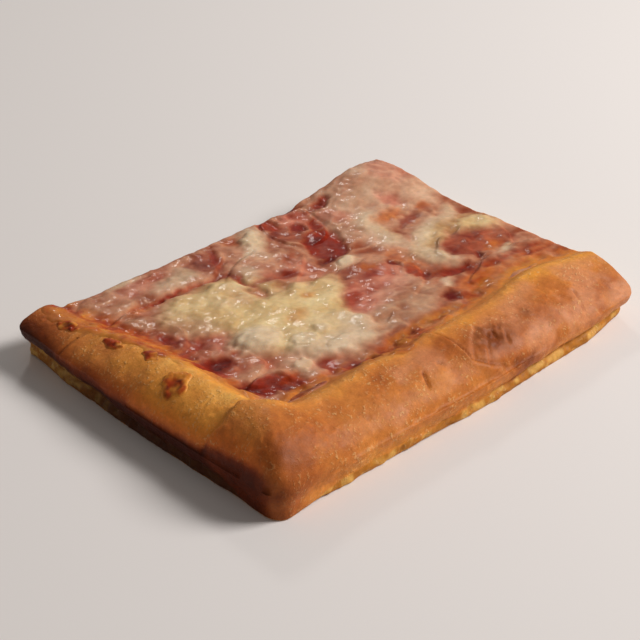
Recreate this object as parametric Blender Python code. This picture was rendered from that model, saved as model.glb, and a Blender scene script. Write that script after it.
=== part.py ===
"""A corner slice of Sicilian pizza: thick bread with a puffed crust on two sides, tomato sauce, ham and melted cheese.

The slice lies flat. +X runs along its long crust side, +Y from that side to the long cut side, and +Z is up.
The origin is under its middle, on the face it rests on. The shape is worked out in millimetres and built in metres.
"""

import bpy
import numpy as np
from mathutils import Vector
from mathutils.bvhtree import BVHTree

MM = 0.001
MIDDLE = (-0.2, -2.1)

# Corners of the outline at the lip of the crust, anticlockwise from above: x, y and rounding.
FRONT = (-84.5, -66.3, 6.0)
RIGHT = (81.6, -66.0, 2.5)
BACK = (84.5, 60.5, 2.5)
LEFT = (-82.8, 62.5, 2.5)
FRONT_BOW = 1.7
LEFT_BOW = 0.9
CRUST_RAGGED = 0.4
CUT_RAGGED = 0.35

# Side of the crust: the lip is its widest line, above a paler foot that stood against the pan.
# Each foot ring gives how far it stands in from the lip, and its share of the height.
LIP_HEIGHT = 9.0
LIP_RISE = 1.8
FOOT_RINGS = ((4.0, 0.0), (1.5, 0.02), (1.2, 0.15), (1.5, 0.38), (1.1, 0.52), (0.45, 0.68), (0.1, 0.84), (0.0, 1.0))
GROOVE = 0.9
RIGHT_END_INSET = 3.6
LEFT_END_INSET = 2.0
CUT_BEVEL = 1.0
EDGE_LIFT = 0.6

# Top of the crust, and the border where the toppings start.
CREST_HEIGHT = 20.3
CORNER_PUFF = 2.6
LEFT_END_DROP = 4.4
ROUND_RIGHT = 26.0
ROUND_LEFT = 20.0
CORNER_POWER = 8.0
RIGHT_END_POINTED = 0.4
LEFT_END_POINTED = 0.25
CREST_LUMPS = 0.8
FOLD_STEP = 1.3
BORDER_X = -64.0
BORDER_X_SPREAD = 4.0
BORDER_Y = -43.5
BORDER_Y_BUMP = 5.0
BORDER_ROUND = 10.0
BORDER_SLOPE = 12.5
BORDER_ROLL = 4.5
TAPER = 9.0

# Bread under the toppings, and the layers on it.
BREAD_HEIGHT = 12.2
BREAD_RISE_X = 0.6
BREAD_FALL_Y = 2.4
BACK_RISE = 7.4
SAUCE_THICK = 1.2
HAM_THICK = 1.4
HAM_WAVE = 0.7
CHEESE_THICK = 2.6
GAP = 0.35
THINNEST = 0.75
CUT_SETBACK = 0.5

# Ham slices: middle x, y, half length, half width and turn in degrees.
HAM_SLICES = (
    (14.0, -7.0, 24.0, 16.0, 25.0),
    (-34.0, 53.0, 32.0, 13.0, 0.0),
    (62.0, -10.0, 18.0, 11.0, 5.0),
    (66.0, 40.0, 29.0, 28.0, 20.0),
    (-58.0, 24.0, 11.0, 17.0, -15.0),
    (-55.0, -8.0, 11.0, 16.0, 25.0),
    (29.0, 48.0, 12.0, 17.0, -20.0),
    (0.0, 31.0, 17.0, 13.0, 10.0),
    (9.0, -33.0, 28.0, 10.0, 4.0),
    (-51.0, -32.0, 15.0, 10.0, -8.0),
    (60.0, -30.0, 24.0, 9.0, 3.0),
)
HAM_APART = 0.09

# Melted cheese: middle x, y, half length, half width, turn in degrees, and thickness as a share of CHEESE_THICK.
CHEESE_POOLS = (
    (-28.0, 20.0, 23.0, 19.0, 0.0, 1.0),
    (-20.0, -3.0, 19.0, 18.0, 0.0, 1.15),
    (-39.0, -4.0, 11.0, 10.0, 0.0, 1.3),
    (-16.0, -21.0, 19.0, 14.0, -12.0, 1.1),
    (-1.0, 4.0, 13.0, 10.0, 35.0, 0.8),
    (-33.0, 51.0, 28.0, 11.0, 2.0, 0.45),
    (-22.0, 48.0, 12.0, 6.0, 20.0, 0.9),
    (10.0, 51.0, 7.0, 14.0, -18.0, 1.0),
    (19.0, 14.0, 9.0, 6.0, 20.0, 0.8),
    (2.0, 30.0, 15.0, 12.0, 0.0, 0.6),
    (66.0, 37.0, 27.0, 27.0, 0.0, 0.8),
    (46.0, 8.0, 8.0, 27.0, -8.0, 0.95),
    (63.0, 7.0, 22.0, 9.0, 22.0, 0.95),
    (78.0, 2.0, 7.0, 14.0, 0.0, 0.8),
    (62.0, -30.0, 25.0, 7.0, 4.0, 0.6),
    (30.0, -36.0, 17.0, 6.0, 8.0, 0.6),
    (8.0, -31.0, 21.0, 9.0, -4.0, 0.5),
    (-36.0, -27.0, 8.0, 9.0, 30.0, 0.9),
    (-48.0, -17.0, 11.0, 6.0, -18.0, 0.7),
    (-60.0, 29.0, 11.0, 12.0, 0.0, 0.4),
    (-66.0, 14.0, 5.0, 17.0, 0.0, 0.5),
)
CHEESE_PATCH = 60.0

# Baked crisps of cheese and sauce on the bare crust: middle x, y, half length, half width, turn, height.
CRISPS = (
    (-75.0, -10.5, 5.5, 4.5, 60.0, 1.1),
    (-70.0, 7.0, 3.0, 4.6, 10.0, 1.1),
    (-73.0, 24.0, 2.6, 4.2, 10.0, 1.0),
    (-74.0, 45.5, 3.0, 4.4, 15.0, 1.1),
)

# Mesh sizes.
SIDE_POINTS = (28, 20, 25, 20)
CORNER_POINTS = 5
RING_DEPTHS = (0.35, 1.3, 3.0, 5.5, 9.0, 13.5, 17.5, 21.5, 25.5, 30.0, 38.0, 50.0)
SPINE_HALF = 18.0
SPINE_DEPTH = 66.0
GRID = 5.3
CRISP_GRID = 1.7


def lattice(i, j, seed):
    """A fixed pseudo-random number from -1 to 1 for each whole-numbered place."""
    h = (i * 374761393 + j * 668265263 + seed * 1442695041) & 0xFFFFFFFF
    h = ((h ^ (h >> 13)) * 1274126177) & 0xFFFFFFFF
    return (h ^ (h >> 16)) / 2147483648.0 - 1.0


def noise(x, y, size, seed):
    """Smooth lumps about one size across, from -1 to 1."""
    i, j = np.floor(x / size).astype(np.int64), np.floor(y / size).astype(np.int64)
    a, b = x / size - i, y / size - j
    a, b = a * a * (3 - 2 * a), b * b * (3 - 2 * b)
    low = lattice(i, j, seed) * (1 - a) + lattice(i + 1, j, seed) * a
    high = lattice(i, j + 1, seed) * (1 - a) + lattice(i + 1, j + 1, seed) * a
    return low * (1 - b) + high * b


def ramp(low, high, value):
    """A smooth step from 0 to 1."""
    t = np.clip((value - low) / (high - low), 0, 1)
    return t * t * (3 - 2 * t)


def beyond(start, end, x, y):
    """How far a point lies to the left of the line from start to end."""
    along = np.array(end[:2]) - np.array(start[:2])
    along = along / np.hypot(*along)
    return along[0] * (y - start[1]) - along[1] * (x - start[0])


def inside_cuts(x, y):
    """Distance inside the two cut sides, uneven as the knife left them."""
    return np.minimum(beyond(RIGHT, BACK, x, y), beyond(BACK, LEFT, x, y)) + CUT_RAGGED * noise(x, y, 13.0, 11)


def inside_border(x, y):
    """Distance inside the border between bare crust and toppings."""
    from_left = x - BORDER_X + BORDER_X_SPREAD * ramp(10, 55, y) - 1.2 * noise(x, y, 12.0, 5)
    from_front = y - BORDER_Y - BORDER_Y_BUMP * np.exp(-((x - 55) / 18) ** 2) - 1.2 * noise(x, y, 13.0, 6)
    corner = np.hypot(np.maximum(BORDER_ROUND - from_left, 0), np.maximum(BORDER_ROUND - from_front, 0))
    return BORDER_ROUND - corner + np.maximum(np.minimum(from_left, from_front) - BORDER_ROUND, 0)


def bread_height(x, y):
    """Top of the bread under the toppings: low at the long cut side, high at the back corner."""
    level = BREAD_HEIGHT + BREAD_RISE_X * x / 80 - BREAD_FALL_Y * (y - 5) / 55
    return level + BACK_RISE * np.exp(-((x - 76) / 26) ** 2 - ((y - 54) / 24) ** 2) + 0.5 * noise(x, y, 40.0, 3)


def crest_height(x, y):
    """Height of the crust's crest: puffed at the front corner, lower at the left end."""
    puff = CORNER_PUFF * np.exp(-(np.hypot(x - FRONT[0], y - FRONT[1]) / 42) ** 2)
    lumps = CREST_LUMPS * noise(x, y, 27.0, 21)
    fold = FOLD_STEP * (1 - ramp(-1.5, 1.5, y + 36 + 0.4 * (x + 72))) * ramp(-56, -64, x)
    return CREST_HEIGHT + puff + lumps + fold - LEFT_END_DROP * ramp(-20, 60, y)


def lip_height(x, y):
    """Height of the crust's widest line, which climbs towards the two cut ends."""
    return LIP_HEIGHT + LIP_RISE * (ramp(58, 84, x) + ramp(34, 62, y))


def crust_height(x, y):
    """Round top of the crust, rising from the lip along both crust sides."""
    toward_right = np.clip(1 - (y - FRONT[1]) / ROUND_RIGHT, 0, 1)
    toward_left = np.clip(1 - (x - FRONT[0]) / ROUND_LEFT, 0, 1)
    out = (toward_right ** CORNER_POWER + toward_left ** CORNER_POWER) ** (2 / CORNER_POWER)
    creases = 1.3 * np.exp(-((x - 3 + 0.3 * (y + 55)) / 1.8) ** 2) * ramp(-38, -48, y)
    creases = creases + 1.0 * np.exp(-((y - 37) / 1.8) ** 2) * ramp(-64, -70, x)
    rise = crest_height(x, y) - creases - lip_height(x, y)
    pointed = RIGHT_END_POINTED * ramp(42, 84, x) + LEFT_END_POINTED * ramp(30, 62, y)
    return lip_height(x, y) + rise * np.clip(1 - out, 0, 1) ** (0.5 + pointed)


def dough_height(x, y):
    """Top of the dough: crust outside the border, and a gentle hollow inside it."""
    inner = ramp(-BORDER_ROLL, BORDER_SLOPE - BORDER_ROLL, inside_border(x, y))
    return crust_height(x, y) * (1 - inner) + bread_height(x, y) * inner


def blob(x, y, shape):
    """1 in the middle of a turned oval, 0 on its edge and less outside."""
    turn = np.radians(shape[4])
    along = np.cos(turn) * (x - shape[0]) + np.sin(turn) * (y - shape[1])
    across = np.cos(turn) * (y - shape[1]) - np.sin(turn) * (x - shape[0])
    return 1 - (along / shape[2]) ** 2 - (across / shape[3]) ** 2


def sauce_mask(x, y):
    """Positive where there is sauce."""
    return np.minimum(inside_border(x, y) + 1.5, inside_cuts(x, y) - CUT_SETBACK)


def sauce_height(x, y):
    """Top of the sauce."""
    thick = THINNEST + (SAUCE_THICK - THINNEST + 0.3 * noise(x, y, 9.0, 31)) * ramp(0, TAPER, inside_border(x, y))
    return dough_height(x, y) + thick


def ham_mask(number, x, y):
    """Positive on one ham slice, which keeps clear of the slices before and after it."""
    own = blob(x, y, HAM_SLICES[number])
    for other, shape in enumerate(HAM_SLICES):
        if other != number:
            own = np.minimum(own, own - blob(x, y, shape) - HAM_APART)
    uneven = own + 0.12 * noise(x, y, 9.0, 41 + number) - 0.04
    return np.minimum(uneven * 8, np.minimum(inside_border(x, y) - 2.5, inside_cuts(x, y) - CUT_SETBACK))


def ham_height(number, x, y):
    """Top of one wavy ham slice."""
    wave = HAM_WAVE * (0.6 + 0.6 * noise(x, y, 11.0, 61 + number))
    thick = THINNEST + (HAM_THICK - THINNEST + wave) * ramp(0, TAPER, inside_border(x, y))
    return sauce_height(x, y) + thick


def cheese_cover(x, y):
    """Share of the full thickness that the cheese has."""
    cover = np.zeros(np.shape(x))
    for shape in CHEESE_POOLS:
        cover = np.maximum(cover, shape[5] * np.sqrt(np.clip(blob(x, y, shape) + 0.1, 0, 1)))
    return cover


def cheese_mask(x, y):
    """Positive where there is cheese."""
    reach = np.max([blob(x, y, shape) for shape in CHEESE_POOLS], axis=0)
    reach = reach + 0.2 * noise(x, y, 9.0, 81) + 0.1 * noise(x, y, 3.5, 82)
    return np.minimum(reach * 8, np.minimum(inside_border(x, y) + 1, inside_cuts(x, y) - CUT_SETBACK))


def topping_height(x, y):
    """Level of the toppings' upper surface, from which the cheese rises."""
    return sauce_height(x, y) + (0.5 * HAM_THICK + 0.6 * HAM_WAVE) * ramp(0, TAPER, inside_border(x, y))


def cheese_height(x, y):
    """Top of the cheese."""
    return topping_height(x, y) + CHEESE_THICK * cheese_cover(x, y)


def outline():
    """Points round the lip, anticlockwise, and each point's direction inwards."""
    corners = [np.array(c[:2]) for c in (FRONT, RIGHT, BACK, LEFT)]
    radii = [c[2] for c in (FRONT, RIGHT, BACK, LEFT)]
    points = []
    ends = []
    for k in range(4):
        before = corners[k - 1] - corners[k]
        after = corners[(k + 1) % 4] - corners[k]
        before, after = before / np.hypot(*before), after / np.hypot(*after)
        half = np.arccos(np.dot(before, after)) / 2
        middle = corners[k] + (before + after) / np.hypot(*(before + after)) * radii[k] / np.sin(half)
        start = np.arctan2(*(corners[k] + before * radii[k] / np.tan(half) - middle)[::-1])
        turns = start + np.linspace(0, np.pi - 2 * half, CORNER_POINTS)
        ends.append(middle + radii[k] * np.stack([np.cos(turns), np.sin(turns)], 1))
    for k in range(4):
        points.append(ends[k])
        steps = np.linspace(0, 1, SIDE_POINTS[k] + 2)[1:-1, None]
        points.append(ends[k][-1] * (1 - steps) + ends[(k + 1) % 4][0] * steps)
    points = np.concatenate(points)
    along = np.roll(points, -1, 0) - np.roll(points, 1, 0)
    inward = np.stack([-along[:, 1], along[:, 0]], 1) / np.hypot(along[:, 0], along[:, 1])[:, None]
    x, y = points.T
    on_crust = crust_share(x, y)
    cut = CUT_RAGGED * noise(x, y, 13.0, 11)
    lump = CRUST_RAGGED * noise(x, y, 24.0, 12)
    front_bow = FRONT_BOW * np.exp(-((x - 3) / 26) ** 2) * (1 - ramp(6, 12, y - FRONT[1]))
    left_bow = LEFT_BOW * np.clip(1 - ((y + 5) / 55) ** 2, 0, 1) * (1 - ramp(6, 12, x - FRONT[0]))
    out = cut * (1 - on_crust) + lump * on_crust + front_bow + left_bow
    return points - inward * out[:, None], inward


def foot_inset(x, y, inset, share):
    """How far one foot ring stands in from the lip, towards +X on the left side and +Y on the front side."""
    groove = GROOVE * np.exp(-((share - 0.4) / 0.13) ** 2)
    slope = (1 - share) ** 1.2
    near_corner = 1 - 0.8 * np.exp(-(np.hypot(x - FRONT[0], y - FRONT[1]) / 14) ** 2)
    to_right = inset * near_corner + groove * ramp(-30, 20, y) + LEFT_END_INSET * slope * ramp(34, 62, y)
    to_back = inset * near_corner + groove * ramp(-15, 30, x) + RIGHT_END_INSET * slope * ramp(56, 84, x)
    on_left = 1 - ramp(9, 22, x - FRONT[0])
    on_front = 1 - ramp(9, 22, y - FRONT[1])
    return np.stack([to_right * on_left, to_back * on_front], 1)


def crust_share(x, y):
    """1 on the two crust sides of the outline, 0 on its cut sides."""
    return np.maximum(1 - ramp(9, 22, y - FRONT[1]), 1 - ramp(9, 22, x - FRONT[0]))


def make_object(name, points, faces, material):
    """One named object from points in millimetres."""
    mesh = bpy.data.meshes.new(name)
    moved = (np.asarray(points) - np.array([*MIDDLE, 0.0])) * MM
    mesh.from_pydata(moved.tolist(), [], faces)
    mesh.materials.append(material)
    mesh.update()
    result = bpy.data.objects.new(name, mesh)
    bpy.context.scene.collection.objects.link(result)
    return result


def make_material(name, color, roughness):
    """A plain Principled material, its colour given as display values from 0 to 255."""
    material = bpy.data.materials.new(name)
    material.use_nodes = True
    shader = material.node_tree.nodes["Principled BSDF"]
    linear = [((c / 255 + 0.055) / 1.055) ** 2.4 for c in color]
    shader.inputs["Base Color"].default_value = (*linear, 1.0)
    shader.inputs["Roughness"].default_value = roughness
    shader.inputs["Metallic"].default_value = 0.0
    return material


def dough_solid():
    """Points and faces of the bread: rings up its side, then inwards over its top."""
    points, inward = outline()
    x, y = points.T
    top = dough_height(x, y)
    on_crust = crust_share(x, y)
    lift = EDGE_LIFT * on_crust * np.maximum(noise(x, y, 17.0, 15), 0)
    rings = []
    for index, (inset, share) in enumerate(FOOT_RINGS):
        place = points + foot_inset(x, y, inset, share)
        if index == 0:
            place = place + CUT_BEVEL * inward
        height = share * top + (lift * (1 - share) if index > 0 else 0)
        rings.append(np.column_stack([place, height]))
    spine = np.stack([x * SPINE_HALF / FRONT[0] * -1, np.zeros(len(x))], 1)
    for depth in RING_DEPTHS:
        place = points + (spine - points) * depth / SPINE_DEPTH
        rings.append(np.column_stack([place, dough_height(*place.T)]))
    count = len(points)
    faces = [list(range(count))[::-1]]
    for ring in range(len(rings) - 1):
        for k in range(count):
            a, b = ring * count + k, ring * count + (k + 1) % count
            faces.append([a, b, b + count])
            faces.append([a, b + count, a + count])
    last = (len(rings) - 1) * count
    faces.append([last + k for k in range(count)])
    return np.concatenate(rings), faces


def flat_sheet(mask, spacing, box):
    """Triangles over the part of the plane where mask is positive, on a grid of one spacing."""
    across = np.arange(box[0], box[1] + spacing, spacing)
    along = np.arange(box[2], box[3] + spacing, spacing)
    grid_x, grid_y = np.meshgrid(across, along, indexing="ij")
    values = mask(grid_x, grid_y)
    points, triangles, number = [], [], {}

    def corner(key, place):
        if key not in number:
            number[key] = len(points)
            points.append(place)
        return number[key]

    def place_of(node):
        return np.array([across[node[0]], along[node[1]]])

    def clip(nodes):
        ring = []
        for k in range(3):
            here, there = nodes[k], nodes[(k + 1) % 3]
            if values[here] > 0:
                ring.append(corner(here, place_of(here)))
            if (values[here] > 0) != (values[there] > 0):
                low, high = min(here, there), max(here, there)
                share = np.clip(values[low] / (values[low] - values[high]), 0.15, 0.85)
                ring.append(corner((low, high), place_of(low) * (1 - share) + place_of(high) * share))
        for k in range(1, len(ring) - 1):
            triangles.append((ring[0], ring[k], ring[k + 1]))

    for i in range(len(across) - 1):
        for j in range(len(along) - 1):
            a, b, c, d = (i, j), (i + 1, j), (i + 1, j + 1), (i, j + 1)
            if (i + j) % 2:
                clip((a, b, c))
                clip((a, c, d))
            else:
                clip((a, b, d))
                clip((b, c, d))
    return np.array(points), np.array(triangles)


def separate_parts(points, triangles):
    """Splits a flat sheet into its connected parts, the largest first."""
    group = np.arange(len(points))
    changed = True
    while changed:
        lowest = group[triangles].min(1)
        updated = group.copy()
        for k in range(3):
            np.minimum.at(updated, triangles[:, k], lowest)
        changed = bool((updated != group).any())
        group = updated
    parts = []
    for label in np.unique(group[triangles[:, 0]]):
        chosen = triangles[group[triangles[:, 0]] == label]
        used = np.unique(chosen)
        renumber = np.zeros(len(points), int)
        renumber[used] = np.arange(len(used))
        parts.append((points[used], renumber[chosen], len(chosen)))
    return sorted(parts, key=lambda part: -part[2])


def lifted(points, triangles, heights, below):
    """Raises a sheet's underside until each triangle clears everything below it."""
    shares = np.array([(a, b, 6 - a - b) for a in range(7) for b in range(7 - a)]) / 6
    places = np.einsum("sk,tkc->tsc", shares, points[triangles])
    floor = np.full(places.shape[:2], -np.inf)
    for t in range(places.shape[0]):
        for s in range(places.shape[1]):
            hit = below.ray_cast(Vector((*places[t, s], 90.0)), Vector((0, 0, -1)))
            if hit[0] is not None:
                floor[t, s] = hit[0].z + GAP
    for _ in range(6):
        need = np.maximum(floor - np.einsum("sk,tk->ts", shares, heights[triangles]), 0).max(1)
        rise = np.zeros(len(points))
        for k in range(3):
            np.maximum.at(rise, triangles[:, k], need)
        heights = heights + rise
    return heights


def sheet_solid(points, triangles, bottom, top):
    """A closed solid between two heights over a flat sheet."""
    count = len(points)
    edges = {}
    for a, b, c in triangles.tolist():
        for start, end in ((a, b), (b, c), (c, a)):
            edges[(start, end)] = True
    faces = [[a + count, b + count, c + count] for a, b, c in triangles.tolist()]
    faces += [[c, b, a] for a, b, c in triangles.tolist()]
    for start, end in edges:
        if (end, start) not in edges:
            faces.append([start, end, end + count])
            faces.append([start, end + count, start + count])
    solid = np.concatenate([np.column_stack([points, bottom]), np.column_stack([points, top])])
    return solid, faces


def tree_of(solids):
    """A search tree over the faces of several solids."""
    vertices, polygons = [], []
    for points, faces in solids:
        offset = len(vertices)
        vertices += [tuple(p) for p in points.tolist()]
        polygons += [[index + offset for index in face] for face in faces]
    return BVHTree.FromPolygons(vertices, polygons)


def lay_sheet(mask, wanted_top, wanted_bottom, spacing, box, below, smallest=0.0):
    """Solids of the connected parts of a sheet that lies on everything made before it."""
    solids = []
    points, triangles = flat_sheet(mask, spacing, box)
    tree = tree_of(below)
    for part_points, part_triangles, size in separate_parts(points, triangles):
        if solids and size * spacing * spacing / 2 < smallest:
            continue
        x, y = part_points.T
        bottom = lifted(part_points, part_triangles, wanted_bottom(x, y), tree)
        top = np.maximum(wanted_top(x, y), bottom + THINNEST)
        solids.append(sheet_solid(part_points, part_triangles, bottom, top))
    return solids


def main():
    for item in list(bpy.data.objects):
        bpy.data.objects.remove(item, do_unlink=True)
    crust = make_material("baked_crust", (192, 125, 79), 0.55)
    sauce = make_material("tomato_sauce", (140, 48, 28), 0.3)
    meat = make_material("ham", (185, 112, 94), 0.35)
    cheese = make_material("mozzarella", (209, 184, 144), 0.3)
    crisp = make_material("baked_crisp", (150, 78, 40), 0.45)
    box = (-86.0, 88.0, -58.0, 64.0)

    dough = dough_solid()
    make_object("dough", *dough, crust)
    made = [dough]

    sauce_parts = lay_sheet(sauce_mask, sauce_height, dough_height, GRID, box, made, np.inf)
    make_object("tomato_sauce", *sauce_parts[0], sauce)
    made.append(sauce_parts[0])

    slices = []
    for number in range(len(HAM_SLICES)):
        parts = lay_sheet(lambda x, y, n=number: ham_mask(n, x, y), lambda x, y, n=number: ham_height(n, x, y),
                          sauce_height, GRID, box, made, np.inf)
        make_object(f"ham_slice_{number + 1}", *parts[0], meat)
        slices.append(parts[0])
    made += slices

    patches = lay_sheet(cheese_mask, cheese_height, sauce_height, GRID, box, made, CHEESE_PATCH)
    for number, patch in enumerate(patches):
        make_object(f"melted_cheese_{number + 1}", *patch, cheese)
    made += patches

    for number, shape in enumerate(CRISPS):
        around = (shape[0] - 10, shape[0] + 10, shape[1] - 10, shape[1] + 10)
        parts = lay_sheet(lambda x, y, s=shape: blob(x, y, s),
                          lambda x, y, s=shape: dough_height(x, y) + s[5] * (0.5 + np.maximum(blob(x, y, s), 0)),
                          dough_height, CRISP_GRID, around, made, np.inf)
        make_object(f"baked_crisp_{number + 1}", *parts[0], crisp)


main()
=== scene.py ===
"""The looks of a corner slice of Sicilian pizza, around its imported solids.

Shapes are worked out in millimetres, with +X along the long crust side and +Y towards the long cut side,
and are moved by MIDDLE and built in metres.
"""

import bpy
import numpy as np
from mathutils import Matrix, Vector
from mathutils.kdtree import KDTree


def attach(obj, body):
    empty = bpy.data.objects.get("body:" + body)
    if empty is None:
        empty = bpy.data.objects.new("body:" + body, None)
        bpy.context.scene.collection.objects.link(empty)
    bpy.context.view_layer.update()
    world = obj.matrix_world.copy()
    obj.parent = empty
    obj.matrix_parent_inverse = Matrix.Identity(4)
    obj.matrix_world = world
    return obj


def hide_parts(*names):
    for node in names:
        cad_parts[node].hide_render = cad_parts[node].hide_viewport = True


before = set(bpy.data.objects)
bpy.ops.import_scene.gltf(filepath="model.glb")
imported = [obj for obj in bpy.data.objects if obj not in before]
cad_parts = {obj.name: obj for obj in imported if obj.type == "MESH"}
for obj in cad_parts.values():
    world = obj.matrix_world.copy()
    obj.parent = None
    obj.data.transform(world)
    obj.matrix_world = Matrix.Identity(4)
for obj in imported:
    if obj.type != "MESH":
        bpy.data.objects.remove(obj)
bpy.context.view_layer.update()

MM = 0.001
MIDDLE = (-0.2, -2.1)

# Camera, in millimetres and degrees.
CAMERA_PLACE = (-328.78, -341.10, 283.36)
CAMERA_AHEAD = (0.5951, 0.6252, -0.5049)
CAMERA_ROLL = -0.571
CAMERA_LENS = 91.04
SENSOR = 36.0

# Lights: place and size in metres, watts and colour.
LIGHTS = {
    "key": ((0.84, -0.66, 0.86), 0.5, 19.0, (1.0, 0.97, 0.94)),
    "back": ((0.60, 0.84, 0.70), 0.14, 1.6, (1.0, 0.98, 0.95)),
}
# Light from all around, and the floor, with its half width in metres.
SKY_COLOR = (1.0, 0.94, 0.88, 1.0)
SKY_STRENGTH = 0.18
FLOOR_HALF = 4
FLOOR_COLOR = (234, 229, 227)
FLOOR_ROUGHNESS = 0.9

# Corners of the outline at the lip of the crust, anticlockwise from above: x, y and rounding.
FRONT = (-84.5, -66.3, 6.0)
RIGHT = (81.6, -66.0, 2.5)
BACK = (84.5, 60.5, 2.5)
LEFT = (-82.8, 62.5, 2.5)
FRONT_BOW = 1.7
LEFT_BOW = 0.9
CRUST_RAGGED = 0.4
CUT_RAGGED = 0.35

# Side of the crust: how far the foot stands in from the lip, against its share of the height.
LIP_HEIGHT = 9.0
LIP_RISE = 1.8
FOOT_SHARES = (0.0, 0.02, 0.15, 0.38, 0.52, 0.68, 0.84, 1.0)
FOOT_INSETS = (4.0, 1.5, 1.2, 1.5, 1.1, 0.45, 0.1, 0.0)
GROOVE = 0.9
RIGHT_END_INSET = 3.6
LEFT_END_INSET = 2.0
CUT_BEVEL = 1.0
EDGE_LIFT = 0.6

# Top of the crust, and the border where the toppings start.
CREST_HEIGHT = 20.3
CORNER_PUFF = 2.6
LEFT_END_DROP = 4.4
ROUND_RIGHT = 26.0
ROUND_LEFT = 20.0
CORNER_POWER = 8.0
RIGHT_END_POINTED = 0.4
LEFT_END_POINTED = 0.25
CREST_LUMPS = 0.8
BORDER_X = -64.0
BORDER_X_SPREAD = 4.0
BORDER_Y = -43.5
BORDER_Y_BUMP = 5.0
BORDER_ROUND = 10.0
BORDER_SLOPE = 12.5
BORDER_ROLL = 4.5
TAPER = 9.0

# Bread under the toppings, and the layers on it.
BREAD_HEIGHT = 12.2
BREAD_RISE_X = 0.6
BREAD_FALL_Y = 2.4
BACK_RISE = 7.4
SAUCE_THICK = 1.2
HAM_THICK = 1.4
HAM_WAVE = 0.7
THINNEST = 0.25
CUT_SETBACK = 0.5

# Ham slices: middle x, y, half length, half width and turn in degrees.
HAM_SLICES = (
    (14, -7, 24, 16, 25),
    (-34, 53, 32, 13, 0),
    (62, -10, 18, 11, 5),
    (66, 40, 29, 28, 20),
    (-58, 24, 11, 17, -15),
    (-55, -8, 11, 16, 25),
    (29, 48, 12, 17, -20),
    (0, 31, 17, 13, 10),
    (9, -33, 28, 10, 4),
    (-51, -32, 15, 10, -8),
    (60, -30, 24, 9, 3),
)
HAM_APART = 0.03

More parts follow.
